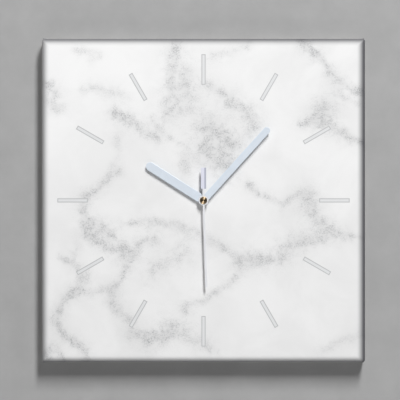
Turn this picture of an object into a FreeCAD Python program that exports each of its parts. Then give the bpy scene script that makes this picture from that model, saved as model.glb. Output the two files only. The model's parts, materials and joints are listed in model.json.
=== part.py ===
# Square wall clock: canvas stretched over a wooden frame, a quartz movement behind it, three hands.
#
# The clock hangs flat on a wall. +Z is up and its face looks towards -Y. The wall plane is y = 0,
# where the turned-over canvas rests. The origin is the middle notch of the sawtooth hanger, in the
# wall plane. Everything is drawn about the dial axis, x = 0 and z = 0, and moved down at the end.
# A turn is positive about +Y, which is clockwise to someone who reads the clock.
import FreeCAD, Part
import math
import os

# ---- Canvas and wooden frame, mm ----
SIDE = 300.0                # width and height over the canvas
DEPTH = 24.0                # canvas front to wall plane
CLOTH = 0.5                 # thickness of the primed canvas
EDGE_RADIUS = 6.0           # rounding of the four front edges, over the canvas
CORNER_RADIUS = 2.0         # rounding of the four corners, seen from the front
FLAP = 20.0                 # canvas turned over onto the back of the bars
BAR_WIDTH = 36.0
BOARD = 5.0                 # fibreboard that carries the canvas and the movement
PIPE_HOLE = 3.4             # radius of the canvas hole round the hour pipe
BUSH_HOLE = 4.2             # radius of the board hole round the threaded bush
NUT_POCKET = (8.0, 3.0)     # radius and depth of the pocket that hides the nut under the canvas
HANGER_HEIGHT = 121.5       # middle notch of the hanger above the dial axis
STAPLES_ACROSS = (-104.0, -52.0, 0.0, 52.0, 104.0)
STAPLE = (10.0, 1.2, 6.0)   # crown length, wire width, leg length

# ---- Movement case, mm ----
CASE_SIDE = 56.0
CASE_DEPTH = 16.0
CASE_WALL = 1.3
GASKET = 1.0                # rubber washer between the case and the board
PARTITION_Z = (-12.2, -11.2)
BATTERY_RADIUS = 7.1
BATTERY_LENGTH = 50.5
BATTERY_Z = -19.45

# ---- Hands, mm; angles are clockwise from twelve o'clock ----
HOUR_HAND = {"length": 62.4, "width": 8.1, "angle": 302.5}
MINUTE_HAND = {"length": 90.3, "width": 6.2, "angle": 42.1}
SECOND_HAND = {"length": 80.2, "width": 1.8, "angle": 180.0, "lean": -1.85}
SECOND_TAIL = {"neck_width": 1.9, "neck_end": 10.7, "width": 4.7, "end": 30.2}
HAND_THICKNESS = 0.4
HUB_RADIUS = 4.65           # white disc at the middle of the second hand
CAP_RADIUS = 3.4            # turned brass cap on that disc

# ---- Shafts on the dial axis, mm ----
BUSH = {"outer": 3.95, "bore": 2.62, "flange": 5.5, "pitch": 0.75}
HOUR_PIPE = {"outer": 2.55, "bore": 1.65}
MINUTE_PIPE = {"outer": 1.6, "bore": 0.6, "flat": 1.3, "rear": 1.2}
ARBOR = 0.5
FIT = 0.02                  # gap where one piece is pressed onto another
RUN = 0.05                  # gap where one piece turns in another

# ---- Depths that follow from the sizes above ----
BOARD_FRONT = -DEPTH + CLOTH
BOARD_BACK = BOARD_FRONT + BOARD
BARE_BACK = -CLOTH
CASE_FRONT = BOARD_BACK + GASKET
CASE_BACK = CASE_FRONT + CASE_DEPTH
INNER = CASE_SIDE / 2 - CASE_WALL
HOUR_HAND_Y = -DEPTH - 3.6
MINUTE_HAND_Y = -DEPTH - 5.4
SECOND_HAND_Y = -DEPTH - 7.4


def level(low, high):
    """Depths of a layer inside the movement, measured back from its front face."""
    return (CASE_FRONT + low, CASE_FRONT + high)


HOUR_LAYER = level(1.5, 2.7)
MINUTE_LAYER = level(3.0, 4.0)
CENTRE_LAYER = level(4.3, 5.1)
PLATE_LAYER = level(5.6, 6.6)
THIRD_LAYER = level(6.9, 7.7)
SECOND_LAYER = level(8.0, 8.8)
STEP_LAYER = level(9.1, 9.9)
CORE_LAYER = level(10.0, 11.0)
MAGNET_LAYER = level(10.5, 12.5)
STATOR_LAYER = level(11.0, 12.0)
BOARD_LAYER = level(11.5, 12.3)
STRIP_LAYER = level(11.0, 12.6)
COVER_LAYER = level(14.7, 16.0)
ARBOR_END = CASE_FRONT + 14.0

# ---- Gear train: teeth and module of each meshing pair, wheel first ----
HOUR_PAIR = {"wheel": 40, "pinion": 10, "module": 0.384}
MINUTE_PAIR = {"wheel": 36, "pinion": 12, "module": 0.4}
CENTRE_PAIR = {"wheel": 64, "pinion": 8, "module": 0.25}
THIRD_PAIR = {"wheel": 60, "pinion": 8, "module": 9.0 / 34}
SECOND_PAIR = {"wheel": 60, "pinion": 10, "module": 0.26}
STEP_PAIR = {"wheel": 50, "pinion": 10, "module": 0.22}


def spacing(pair):
    """Distance between the two axes of a meshing pair."""
    return pair["module"] * (pair["wheel"] + pair["pinion"]) / 2


def offset(start, distance, degrees):
    """The (x, z) point at a distance and an angle, measured from +X towards +Z."""
    turn = math.radians(degrees)
    return (start[0] + distance * math.cos(turn), start[1] + distance * math.sin(turn))


# ---- Axes of the train, as (x, z) ----
DIAL_AXIS = (0.0, 0.0)
MINUTE_WHEEL_AXIS = offset(DIAL_AXIS, spacing(MINUTE_PAIR), 135.0)
THIRD_AXIS = offset(DIAL_AXIS, spacing(CENTRE_PAIR), 0.0)
STEP_AXIS = offset(DIAL_AXIS, spacing(SECOND_PAIR), 75.0)
ROTOR_AXIS = offset(STEP_AXIS, spacing(STEP_PAIR), 30.0)

V = FreeCAD.Vector
ORIGIN = V(0, 0, 0)
Y_AXIS = V(0, 1, 0)


# ---------------------------------------------------------------- basic shapes
def block(x, y, z):
    """A box; each argument is a (low, high) pair along its axis."""
    return Part.makeBox(x[1] - x[0], y[1] - y[0], z[1] - z[0], V(x[0], y[0], z[0]))


def disc(radius, y, centre=DIAL_AXIS):
    """A cylinder along Y between two depths."""
    return Part.makeCylinder(radius, y[1] - y[0], V(centre[0], y[0], centre[1]), Y_AXIS)


def ring(outer, inner, y, centre=DIAL_AXIS):
    """A tube along Y between two depths."""
    return disc(outer, y, centre).cut(disc(inner, (y[0] - 1, y[1] + 1), centre))


def plate(outline, y):
    """A closed outline of (x, z) points, made solid between two depths."""
    points = [V(x, y[0], z) for x, z in outline]
    face = Part.Face(Part.makePolygon(points + points[:1]))
    return face.extrude(V(0, y[1] - y[0], 0))


def turned(profile, centre=DIAL_AXIS):
    """A closed profile of (radius, y) points, revolved about an axis along Y."""
    points = [V(centre[0] + radius, y, centre[1]) for radius, y in profile]
    face = Part.Face(Part.makePolygon(points + points[:1]))
    return face.revolve(V(centre[0], 0, centre[1]), Y_AXIS, 360)


def rod_x(radius, x, y, z):
    """A cylinder along X between two values of x."""
    return Part.makeCylinder(radius, x[1] - x[0], V(x[0], y, z), V(1, 0, 0))


def spun(shape, degrees):
    """A copy of the shape, turned about the dial axis."""
    copy = shape.copy()
    copy.rotate(ORIGIN, Y_AXIS, degrees)
    return copy


def joined(shapes):
    """Several touching or overlapping shapes as one clean solid."""
    whole = shapes[0]
    if len(shapes) > 1:
        whole = shapes[0].fuse(shapes[1:])
    return whole.removeSplitter()


def rounded_block(half_x, z, y, radius):
    """A block with its four edges along Y rounded."""
    solid = block((-half_x, half_x), y, z)
    upright = [edge for edge in solid.Edges if abs(edge.tangentAt(edge.FirstParameter).y) > 0.9]
    return solid.makeFillet(radius, upright)


# ---------------------------------------------------------------- gears
# Straight-flanked teeth: heights in modules, thicknesses as a share of the pitch.
WHEEL_TOOTH = {"above": 0.85, "below": 1.15, "thick": 0.42, "tip": 0.16}
PINION_TOOTH = {"above": 0.70, "below": 1.20, "thick": 0.38, "tip": 0.14}


def gear(teeth, module, tooth, phase, centre, y):
    """A spur gear with one tooth centred at the phase angle, in degrees from +X towards +Z."""
    pitch = module * teeth / 2
    root = pitch - tooth["below"] * module
    crest = pitch + tooth["above"] * module
    wide = math.pi * tooth["thick"] / teeth
    narrow = math.pi * tooth["tip"] / teeth
    corners = ((root, -wide), (pitch, -wide), (crest, -narrow), (crest, narrow), (pitch, wide), (root, wide))
    outline = []
    for index in range(teeth):
        middle = math.radians(phase) + 2 * math.pi * index / teeth
        for radius, turn in corners:
            x = centre[0] + radius * math.cos(middle + turn)
            z = centre[1] + radius * math.sin(middle + turn)
            outline.append((x, z))
    return plate(outline, y)


def direction(start, end):
    """Angle of the line from one axis to another, in degrees from +X towards +Z."""
    return math.degrees(math.atan2(end[1] - start[1], end[0] - start[0]))


def wheel_of(pair, axis, mate, y):
    """The wheel of a pair, with a tooth on the line to its mate."""
    return gear(pair["wheel"], pair["module"], WHEEL_TOOTH, direction(axis, mate), axis, y)


def pinion_of(pair, axis, mate, y):
    """The pinion of a pair, with a gap on the line to its mate."""
    phase = direction(axis, mate) + 180.0 / pair["pinion"]
    return gear(pair["pinion"], pair["module"], PINION_TOOTH, phase, axis, y)


def lightened(wheel, axis, y, hole_radius, hole_distance, count):
    """A wheel with a circle of round holes through its web."""
    for index in range(count):
        place = offset(axis, hole_distance, (index + 0.5) * 360.0 / count)
        wheel = wheel.cut(disc(hole_radius, y, place))
    return wheel


# ---------------------------------------------------------------- canvas and wooden frame
def slab(half, radius, corner, front, back):
    """A square slab with rounded front edges and rounded corners in plan."""
    short = radius * (1 - math.sqrt(0.5))
    left_arc = Part.Arc(
        V(-half, front + radius, -half), V(-half + short, front + short, -half), V(-half + radius, front, -half))
    right_arc = Part.Arc(
        V(half - radius, front, -half), V(half - short, front + short, -half), V(half, front + radius, -half))
    edges = [
        Part.LineSegment(V(-half, back, -half), V(-half, front + radius, -half)).toShape(),
        left_arc.toShape(),
        Part.LineSegment(V(-half + radius, front, -half), V(half - radius, front, -half)).toShape(),
        right_arc.toShape(),
        Part.LineSegment(V(half, front + radius, -half), V(half, back, -half)).toShape(),
        Part.LineSegment(V(half, back, -half), V(-half, back, -half)).toShape(),
    ]
    upright = Part.Face(Part.Wire(edges)).extrude(V(0, 0, 2 * half))
    across = spun(upright, 90)
    corners = rounded_block(half, (-half, half), (front, back), corner)
    return upright.common(across).common(corners)


def frame_core():
    """The outside of the wood: what the canvas is stretched over."""
    return slab(SIDE / 2 - CLOTH, EDGE_RADIUS - CLOTH, CORNER_RADIUS - CLOTH, BOARD_FRONT, BARE_BACK)


def staples():
    """Five staples on each side, with their crowns pressed flush into the turned-over canvas."""
    crown, wire, leg = STAPLE
    row = SIDE / 2 - FLAP / 2
    pieces = []
    for place in STAPLES_ACROSS:
        height = (row - wire / 2, row + wire / 2)
        left, right = place - crown / 2, place + crown / 2
        bridge = block((left, right), (BARE_BACK, 0), height)
        legs = [block((left, left + CLOTH), (BARE_BACK - leg, BARE_BACK), height)]
        legs.append(block((right - CLOTH, right), (BARE_BACK - leg, BARE_BACK), height))
        pieces.append(joined([bridge] + legs))
    return [spun(piece, 90 * quarter) for quarter in range(4) for piece in pieces]


def corner_fasteners():
    """A corrugated steel strip driven across each mitre, flush with the bare wood."""
    middle = SIDE / 2 - CLOTH - BAR_WIDTH + 9.0
    wave = [(3.0 * step, 0.8 if step % 2 else -0.8) for step in range(-3, 4)]
    half_thickness = 0.25
    slant = math.sqrt(0.5)

    def place(along, out):
        return (middle + (along + out) * slant, middle + (out - along) * slant)

    near = [place(along, out - half_thickness) for along, out in wave]
    far = [place(along, out + half_thickness) for along, out in reversed(wave)]
    strip = plate(near + far, (BARE_BACK - 10.0, BARE_BACK))
    return [spun(strip, 90 * quarter) for quarter in range(4)]


NAIL = {"x": 17.8, "z": 124.6, "head": 2.0, "shank": 0.7, "length": 10.0}
HANGER = {"half": 22.5, "low": 119.5, "high": 128.5, "sheet": 0.7, "rise": 0.9, "pitch": 2.5}


def hanger_nails():
    """Two flat-headed nails that hold the hanger on the top bar."""
    under_head = BARE_BACK + HANGER["sheet"]
    pieces = []
    for side in (-1, 1):
        place = (side * NAIL["x"], NAIL["z"])
        head = disc(NAIL["head"], (under_head, under_head + 0.7), place)
        shank = disc(NAIL["shank"], (BARE_BACK - NAIL["length"], under_head), place)
        pieces.append(joined([head, shank]))
    return pieces


def sawtooth_hanger():
    """A steel strip, flat at its nailed ends, raised between them and toothed along its lower edge."""
    flat, raised = 13.2, 11.8
    near = [(-HANGER["half"], 0), (-flat, 0), (-raised, HANGER["rise"])]
    near += [(raised, HANGER["rise"]), (flat, 0), (HANGER["half"], 0)]
    far = [(x, y + HANGER["sheet"]) for x, y in reversed(near)]
    points = [V(x, BARE_BACK + y, HANGER["low"]) for x, y in near + far]
    strip = Part.Face(Part.makePolygon(points + points[:1])).extrude(V(0, 0, HANGER["high"] - HANGER["low"]))
    for index in range(-3, 4):
        x = index * HANGER["pitch"]
        notch = [(x - 1.2, HANGER["low"] - 0.1), (x, HANGER_HEIGHT), (x + 1.2, HANGER["low"] - 0.1)]
        strip = strip.cut(plate(notch, (BARE_BACK - 1, 3)))
    for side in (-1, 1):
        hole = disc(NAIL["shank"] + RUN, (BARE_BACK - 1, 3), (side * NAIL["x"], NAIL["z"]))
        strip = strip.cut(hole)
    return strip


def stretcher_bars(core):
    """Four mitred pine bars, rounded where the canvas goes round them."""
    outer = SIDE / 2 - CLOTH
    inner = outer - BAR_WIDTH
    outline = [(-outer, outer), (outer, outer), (inner, inner), (-inner, inner)]
    top = plate(outline, (BOARD_BACK, BARE_BACK))
    nail_holes = []
    for side in (-1, 1):
        depth = (BARE_BACK - NAIL["length"] - RUN, BARE_BACK + 1)
        nail_holes.append(disc(NAIL["shank"] + RUN, depth, (side * NAIL["x"], NAIL["z"])))
    metal = Part.makeCompound(staples() + corner_fasteners() + nail_holes)
    bars = {}
    for quarter, name in enumerate(("top", "right", "bottom", "left")):
        bars["stretcher_bar_" + name] = spun(top, 90 * quarter).common(core).cut(metal)
    return bars


def backing_board(core):
    """The fibreboard face of the frame, with a pocket for the nut."""
    half = SIDE / 2
    sheet = block((-half, half), (BOARD_FRONT, BOARD_BACK), (-half, half)).common(core)
    pocket_radius, pocket_depth = NUT_POCKET
    pocket = disc(pocket_radius, (BOARD_FRONT - 1, BOARD_FRONT + pocket_depth))
    return sheet.cut(disc(BUSH_HOLE, (BOARD_FRONT, BOARD_BACK))).cut(pocket)


def canvas_wrap(core):
    """The printed canvas: front, four sides and the turned-over flaps, as one skin."""
    outside = slab(SIDE / 2, EDGE_RADIUS, CORNER_RADIUS, -DEPTH, 0)
    opening = SIDE / 2 - FLAP
    window = block((-opening, opening), (BARE_BACK - 1, 1), (-opening, opening))
    skin = outside.cut(core).cut(window)
    skin = skin.cut(disc(PIPE_HOLE, (-DEPTH - 1, BOARD_FRONT + 1)))
    return skin.cut(Part.makeCompound(staples()))


# ---------------------------------------------------------------- fixing of the movement
def threaded_bush():
    """The brass bush moulded into the case: a flange, a plain neck and a fine thread."""
    front = BOARD_FRONT + 0.3
    shoulder = CASE_FRONT + 0.5
    crest, core = BUSH["outer"], BUSH["outer"] - 0.35
    profile = [(BUSH["bore"], front), (core, front)]
    turns = int((BOARD_BACK - front) / BUSH["pitch"])
    for turn in range(turns):
        start = front + turn * BUSH["pitch"]
        profile += [(crest, start + BUSH["pitch"] * 0.5), (core, start + BUSH["pitch"])]
    profile += [(crest, front + turns * BUSH["pitch"] + 0.3), (crest, shoulder)]
    profile += [(BUSH["flange"], shoulder), (BUSH["flange"], CASE_FRONT + CASE_WALL)]
    profile.append((BUSH["bore"], CASE_FRONT + CASE_WALL))
    return turned(profile)


def hex_nut():
    """A thin hexagonal nut, 11 mm across flats, sunk in the board under the canvas."""
    across_corners = 11.0 / math.sqrt(3)
    washer_front = BOARD_FRONT + NUT_POCKET[1] - 0.5
    outline = [offset(DIAL_AXIS, across_corners, 60 * corner + 30) for corner in range(6)]
    nut = plate(outline, (washer_front - 2.0, washer_front))
    return nut.cut(disc(BUSH["outer"] + RUN, (washer_front - 3, washer_front + 1)))


def brass_washer():
    """The flat washer under the nut."""
    floor = BOARD_FRONT + NUT_POCKET[1]
    return ring(6.5, BUSH["outer"] + 3 * RUN, (floor - 0.5, floor))


def rubber_washer():
    """The rubber washer between the movement and the board."""
    return ring(11.0, BUSH["outer"] + 3 * RUN, (BOARD_BACK, CASE_FRONT))


# ---------------------------------------------------------------- movement case
SNAP = {"z": (5.2, 10.8), "reach": 27.6, "y": level(14.95, 15.75)}


def movement_front_case():
    """The moulded tray that holds the train and the battery, open at the back."""
    half = CASE_SIDE / 2
    floor = CASE_FRONT + CASE_WALL
    tray = rounded_block(half, (-half, half), (CASE_FRONT, CASE_BACK), 3.0)
    cavity = rounded_block(INNER, (-INNER, INNER), (floor, CASE_BACK + 1), 1.5)
    tray = tray.cut(cavity)
    partition = block((-INNER - 0.5, INNER + 0.5), (floor - 0.2, COVER_LAYER[0]), PARTITION_Z)
    additions = [partition]
    for side in (-1, 1):
        post_x = sorted((side * (INNER - 3.0), side * (INNER + 0.5)))
        additions.append(block(post_x, (floor - 0.2, COVER_LAYER[0]), (INNER - 3.0, INNER + 0.5)))
        for z in (-8.0, 20.0):
            additions.append(disc(2.0, (floor - 0.2, PLATE_LAYER[0]), (side * 22.0, z)))
    tray = joined([tray] + additions)
    cuts = [
        disc(BUSH["outer"] + RUN, (CASE_FRONT - 1, floor)),
        disc(BUSH["flange"] + RUN, (CASE_FRONT + 0.5, floor + 0.1)),
        disc(0.6 + RUN, (CASE_FRONT + 0.5, floor + 0.1), MINUTE_WHEEL_AXIS),
        disc(ARBOR + RUN, (CASE_FRONT + 0.5, floor + 0.1), THIRD_AXIS),
        block((-9.0, 9.0), (CASE_FRONT + 9.0, CASE_BACK + 1), (-half - 1, -INNER + 0.1)),
    ]
    for side in (-1, 1):
        notch_x = sorted((side * 25.6, side * INNER))
        cuts.append(block(notch_x, (STRIP_LAYER[0] - 0.3, STRIP_LAYER[1] + 0.3), PARTITION_Z))
        slot_x = sorted((side * (INNER - 0.1), side * (half + 1)))
        slot_y = (SNAP["y"][0] - 0.1, SNAP["y"][1] + 0.1)
        cuts.append(block(slot_x, slot_y, (SNAP["z"][0] - 0.2, SNAP["z"][1] + 0.2)))
    return tray.cut(cuts)


def movement_rear_cover():
    """The flat cover over the train, with a well for the knob and a bearing for each arbor."""
    gap = 0.2
    edge = INNER - gap
    sheet = rounded_block(edge, (PARTITION_Z[0] + 0.1, edge), COVER_LAYER, 1.2)
    pieces = [sheet]
    for side in (-1, 1):
        tab_x = sorted((side * (edge - 0.5), side * SNAP["reach"]))
        pieces.append(block(tab_x, SNAP["y"], SNAP["z"]))
    bearings = {DIAL_AXIS: ARBOR, THIRD_AXIS: ARBOR, STEP_AXIS: ARBOR, ROTOR_AXIS: ARBOR}
    boss = (CASE_FRONT + 13.2, COVER_LAYER[0] + 0.2)
    pieces += [disc(1.5, boss, axis) for axis in bearings]
    cover = joined(pieces)
    cover = cover.cut(disc(5.4, (COVER_LAYER[0] - 1, COVER_LAYER[1] + 1), MINUTE_WHEEL_AXIS))
    for axis, radius in bearings.items():
        cover = cover.cut(disc(radius + RUN, (boss[0] - 1, ARBOR_END + 0.2), axis))
    for index in range(6):
        z = -8.0 + 1.6 * index
        cover = cover.cut(block((6.0, 22.0), (COVER_LAYER[1] - 0.4, COVER_LAYER[1] + 1), (z, z + 0.8)))
    return cover


def middle_plate():
    """The inner plate: it carries the rear ends of the motion work and the posts of the motor."""
    gap = 0.2
    edge = INNER - gap
    sheet = block((-edge, edge), PLATE_LAYER, (PARTITION_Z[1] + gap, edge))
    for side in (-1, 1):
        corner_x = sorted((side * (INNER - 3.0 - gap), side * (edge + 1)))
        sheet = sheet.cut(block(corner_x, (PLATE_LAYER[0] - 1, PLATE_LAYER[1] + 1), (INNER - 3.0 - gap, edge + 1)))
    posts = []
    for x in (-17.0, 18.0):
        posts.append(disc(1.5, (PLATE_LAYER[1] - 0.2, STATOR_LAYER[0]), (x, 12.4)))
        posts.append(disc(1.5, (PLATE_LAYER[1] - 0.2, CORE_LAYER[0]), (x, 21.5)))
    for x, z in ((-24.0, -5.5), (-24.0, 6.0), (-13.0, -5.5)):
        posts.append(disc(1.2, (PLATE_LAYER[1] - 0.2, BOARD_LAYER[0]), (x, z)))
    body = joined([sheet] + posts)
    through = (PLATE_LAYER[0] - 1, PLATE_LAYER[1] + 1)
    blind = (PLATE_LAYER[1] - 0.65, PLATE_LAYER[1] + 1)
    body = body.cut(disc(ARBOR + RUN, through))
    body = body.cut(disc(ARBOR + RUN, through, THIRD_AXIS))
    body = body.cut(disc(1.0 + RUN, through, MINUTE_WHEEL_AXIS))
    body = body.cut(disc(ARBOR + RUN, blind, STEP_AXIS))
    return body.cut(disc(ARBOR + RUN, blind, ROTOR_AXIS))


# ---------------------------------------------------------------- hour and minute work
def hour_wheel():
    """The hour wheel and its pipe, in one moulding."""
    wheel = wheel_of(HOUR_PAIR, DIAL_AXIS, MINUTE_WHEEL_AXIS, HOUR_LAYER)
    wheel = lightened(wheel, DIAL_AXIS, HOUR_LAYER, 1.3, 4.9, 6)
    pipe = disc(HOUR_PIPE["outer"], (HOUR_HAND_Y - 0.3, HOUR_LAYER[1]))
    return joined([wheel, pipe]).cut(disc(HOUR_PIPE["bore"], (HOUR_HAND_Y - 1, HOUR_LAYER[1] + 1)))


def minute_pipe():
    """The cannon pipe: flats for the minute hand in front, a pinion and a seat behind."""
    front = MINUTE_HAND_Y - 0.6
    tube = disc(MINUTE_PIPE["outer"], (front, MINUTE_LAYER[1]))
    seat = disc(MINUTE_PIPE["rear"], (MINUTE_LAYER[1] - 0.2, CENTRE_LAYER[1] + 0.3))
    cannon = pinion_of(MINUTE_PAIR, DIAL_AXIS, MINUTE_WHEEL_AXIS, MINUTE_LAYER)
    pipe = joined([tube, seat, cannon])
    for side in (-1, 1):
        flat_x = sorted((side * MINUTE_PIPE["flat"], side * 3.0))
        flat = block(flat_x, (front - 1, front + 1.6), (-3.0, 3.0))
        pipe = pipe.cut(spun(flat, MINUTE_HAND["angle"]))
    return pipe.cut(disc(MINUTE_PIPE["bore"], (front - 1, CENTRE_LAYER[1] + 1)))


KNOB_SHAFT = 1.0
KNOB_Y = (CASE_FRONT + 13.7, CASE_FRONT + 17.1)


def minute_wheel():
    """The minute wheel, its pinion and the shaft that the setting knob turns."""
    axis = MINUTE_WHEEL_AXIS
    wheel = wheel_of(MINUTE_PAIR, axis, DIAL_AXIS, MINUTE_LAYER)
    wheel = lightened(wheel, axis, MINUTE_LAYER, 1.4, 4.3, 5)
    pinion = pinion_of(HOUR_PAIR, axis, DIAL_AXIS, (HOUR_LAYER[0], MINUTE_LAYER[0]))
    pivot = disc(0.6, (CASE_FRONT + 0.6, HOUR_LAYER[0]), axis)
    shaft = disc(KNOB_SHAFT, (MINUTE_LAYER[0], KNOB_Y[1] - 1.0), axis)
    return joined([wheel, pinion, pivot, shaft])


def setting_knob():
    """The fluted knob on the back, pushed onto the minute wheel's shaft."""
    body = disc(5.0, KNOB_Y, MINUTE_WHEEL_AXIS)
    flutes = 24
    for index in range(flutes):
        place = offset(MINUTE_WHEEL_AXIS, 5.15, index * 360.0 / flutes)
        body = body.cut(disc(0.35, (KNOB_Y[0] - 1, KNOB_Y[1] + 1), place))
    return body.cut(disc(KNOB_SHAFT + FIT, (KNOB_Y[0] - 1, KNOB_Y[1] - 0.9), MINUTE_WHEEL_AXIS))


# ---------------------------------------------------------------- going train
def centre_wheel():
    """The centre wheel, which drives the minute pipe through its friction seat."""
    wheel = wheel_of(CENTRE_PAIR, DIAL_AXIS, THIRD_AXIS, CENTRE_LAYER)
    wheel = lightened(wheel, DIAL_AXIS, CENTRE_LAYER, 1.7, 4.6, 5)
    return wheel.cut(disc(MINUTE_PIPE["rear"] + RUN, (CENTRE_LAYER[0] - 1, CENTRE_LAYER[1] + 1)))


def third_wheel():
    """The third wheel and pinion on one arbor, which passes through the middle plate."""
    wheel = wheel_of(THIRD_PAIR, THIRD_AXIS, DIAL_AXIS, THIRD_LAYER)
    wheel = lightened(wheel, THIRD_AXIS, THIRD_LAYER, 1.7, 4.4, 5)
    pinion = pinion_of(CENTRE_PAIR, THIRD_AXIS, DIAL_AXIS, CENTRE_LAYER)
    arbor = disc(ARBOR, (CASE_FRONT + 0.6, ARBOR_END), THIRD_AXIS)
    return joined([wheel, pinion, arbor])


def second_wheel():
    """The second wheel and its pinion, pressed onto the long second arbor."""
    wheel = wheel_of(SECOND_PAIR, DIAL_AXIS, STEP_AXIS, SECOND_LAYER)
    wheel = lightened(wheel, DIAL_AXIS, SECOND_LAYER, 1.7, 4.5, 5)
    pinion = pinion_of(THIRD_PAIR, DIAL_AXIS, THIRD_AXIS, (THIRD_LAYER[0], SECOND_LAYER[0]))
    return joined([wheel, pinion]).cut(disc(ARBOR + FIT, (THIRD_LAYER[0] - 1, SECOND_LAYER[1] + 1)))


def second_arbor():
    """The steel arbor that runs through both pipes to the second hand."""
    return disc(ARBOR, (SECOND_HAND_Y - 0.4, ARBOR_END))


def step_wheel():
    """The wheel between the motor and the second wheel."""
    wheel = wheel_of(STEP_PAIR, STEP_AXIS, ROTOR_AXIS, STEP_LAYER)
    wheel = lightened(wheel, STEP_AXIS, STEP_LAYER, 1.0, 3.3, 5)
    pinion = pinion_of(SECOND_PAIR, STEP_AXIS, DIAL_AXIS, (SECOND_LAYER[0], STEP_LAYER[0]))
    arbor = disc(ARBOR, (PLATE_LAYER[1] - 0.6, ARBOR_END), STEP_AXIS)
    return joined([wheel, pinion, arbor])


# ---------------------------------------------------------------- stepping motor
ROTOR_HUB = 0.8
MAGNET_RADIUS = 2.8
POLE_GAP_RADIUS = 3.3
COIL = {"x": (-14.5, 15.5), "flange": 3.6, "sleeve": 2.45, "wound": 3.3, "z": 21.5, "wall": 0.8}
CORE_HALF_WIDTH = 2.0


def rotor_pinion():
    """The rotor's moulded arbor, pinion and hub."""
    pinion = pinion_of(STEP_PAIR, ROTOR_AXIS, STEP_AXIS, (STEP_LAYER[0], MAGNET_LAYER[0]))
    arbor = disc(ARBOR, (PLATE_LAYER[1] - 0.6, ARBOR_END), ROTOR_AXIS)
    hub = disc(ROTOR_HUB, (MAGNET_LAYER[0], MAGNET_LAYER[1] + 0.3), ROTOR_AXIS)
    return joined([pinion, arbor, hub])


def rotor_magnet():
    """The two-pole ring magnet on the rotor's hub."""
    return ring(MAGNET_RADIUS, ROTOR_HUB + FIT, MAGNET_LAYER, ROTOR_AXIS)


def stator():
    """The soft-iron pole piece round the rotor, with an arm up to each end of the coil."""
    low, high = 10.3, 14.5
    left, right = -19.0, 20.0
    arm = 3.5
    top = COIL["z"] + CORE_HALF_WIDTH
    pieces = [
        block((left, right), STATOR_LAYER, (low, high)),
        block((left, left + arm), STATOR_LAYER, (low, top)),
        block((right - arm, right), STATOR_LAYER, (low, top)),
        disc(POLE_GAP_RADIUS + 2.0, STATOR_LAYER, ROTOR_AXIS),
    ]
    through = (STATOR_LAYER[0] - 1, STATOR_LAYER[1] + 1)
    return joined(pieces).cut(disc(POLE_GAP_RADIUS, through, ROTOR_AXIS))


def coil_core():
    """The soft-iron core through the coil, lying against both arms of the pole piece."""
    height = (COIL["z"] - CORE_HALF_WIDTH, COIL["z"] + CORE_HALF_WIDTH)
    return block((-19.0, 20.0), CORE_LAYER, height)


def coil_axis_y():
    """Depth of the coil's own axis."""
    return (CORE_LAYER[0] + CORE_LAYER[1]) / 2


def coil_bobbin():
    """The bobbin: a sleeve over the core between two round flanges."""
    left, right = COIL["x"]
    depth = coil_axis_y()
    sleeve = rod_x(COIL["sleeve"], (left, right), depth, COIL["z"])
    flanges = [rod_x(COIL["flange"], (left, left + COIL["wall"]), depth, COIL["z"])]
    flanges.append(rod_x(COIL["flange"], (right - COIL["wall"], right), depth, COIL["z"]))
    tunnel_y = (CORE_LAYER[0] - RUN, CORE_LAYER[1] + RUN)
    tunnel_z = (COIL["z"] - CORE_HALF_WIDTH - RUN, COIL["z"] + CORE_HALF_WIDTH + RUN)
    return joined([sleeve] + flanges).cut(block((left - 1, right + 1), tunnel_y, tunnel_z))


def coil_winding():
    """The copper winding on the bobbin, as one wound sleeve."""
    x = (COIL["x"][0] + COIL["wall"] + RUN, COIL["x"][1] - COIL["wall"] - RUN)
    outside = rod_x(COIL["wound"], x, coil_axis_y(), COIL["z"])
    return outside.cut(rod_x(COIL["sleeve"] + RUN, (x[0] - 1, x[1] + 1), coil_axis_y(), COIL["z"]))


# ---------------------------------------------------------------- electronics and battery
def circuit_board():
    """The small board that times the motor's pulses."""
    board = block((-25.9, -10.0), BOARD_LAYER, (-7.5, 8.0))
    for z in (-4.0, 4.0):
        board = board.cut(disc(0.5, (BOARD_LAYER[0] - 1, BOARD_LAYER[1] + 1), (-11.5, z)))
    return board


def quartz_crystal():
    """The crystal in its metal can, lying on the board."""
    radius = 1.0
    depth = BOARD_LAYER[1] + radius
    can = rod_x(radius, (-22.0, -16.0), depth, 5.0)
    collar = rod_x(radius - 0.15, (-16.0, -15.5), depth, 5.0)
    return joined([can, collar])


def chip_blob():
    """The domed resin blob over the timing chip."""
    radius = 2.6
    sphere = Part.makeSphere(radius, V(-18.0, BOARD_LAYER[1] - 1.3, -1.5))
    keep = block((-25.0, -11.0), (BOARD_LAYER[1], BOARD_LAYER[1] + 3), (-6.0, 3.5))
    return sphere.common(keep)


SPRING_SHEET = 0.3
CONTACT_X = INNER - 0.1
CONTACT_Z = (-24.0, -15.0)
CONTACT_Y = (CASE_FRONT + 3.0, CASE_FRONT + 13.0)


def positive_contact():
    """The right-hand contact: a dimpled plate and a strip along the partition to the board."""
    outer = CONTACT_X
    wall = block((outer - SPRING_SHEET, outer), CONTACT_Y, CONTACT_Z)
    nub_end = BATTERY_LENGTH / 2 + RUN
    depth = battery_y()
    dimple = Part.makeCone(2.0, 3.0, outer - SPRING_SHEET - nub_end, V(nub_end, depth, BATTERY_Z), V(1, 0, 0))
    shelf = (PARTITION_Z[1] + 0.1, PARTITION_Z[1] + 0.1 + SPRING_SHEET)
    riser = block((outer - SPRING_SHEET, outer), STRIP_LAYER, (CONTACT_Z[1] - 1, shelf[1]))
    run = block((-20.0, outer), STRIP_LAYER, shelf)
    tab = block((-20.0, -18.0), (BOARD_LAYER[1], BOARD_LAYER[1] + SPRING_SHEET), (shelf[0], -5.5))
    return joined([wall, dimple, riser, run, tab])


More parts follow.
